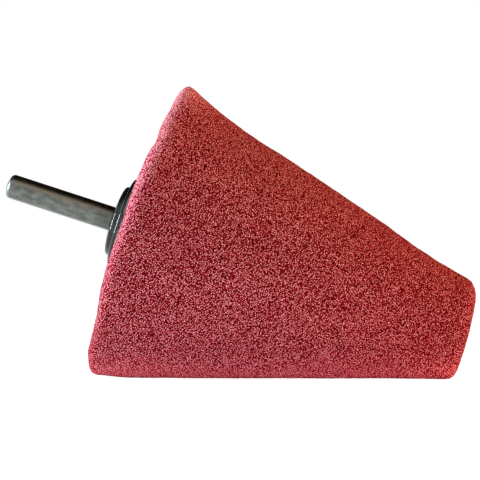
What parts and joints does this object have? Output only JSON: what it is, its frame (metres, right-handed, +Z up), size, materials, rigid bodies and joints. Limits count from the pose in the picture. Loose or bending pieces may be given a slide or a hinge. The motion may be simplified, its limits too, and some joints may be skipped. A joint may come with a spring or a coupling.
{
  "type": "foam polishing cone",
  "caption": "Blunt cone of open-cell foam on a short round steel shank, for polishing with a drill. It lies on its side.",
  "frame": {"origin": "on the floor, under the middle of the object's box", "axes": "+Z up, +X along the foam side that lies on the floor, towards the narrow end, +Y across"},
  "size_m": [0.121, 0.0762, 0.0725],
  "materials": {
    "foam": "open-cell foam, crimson",
    "shank": "satin drawn steel",
    "hub": "gloss black",
    "washer": "gloss black"
  },
  "bodies": {
    "root": {"foam_cone": "foam", "steel_shank": "shank", "ribbed_hub": "hub", "backing_washer": "washer"}
  },
  "joints": []
}
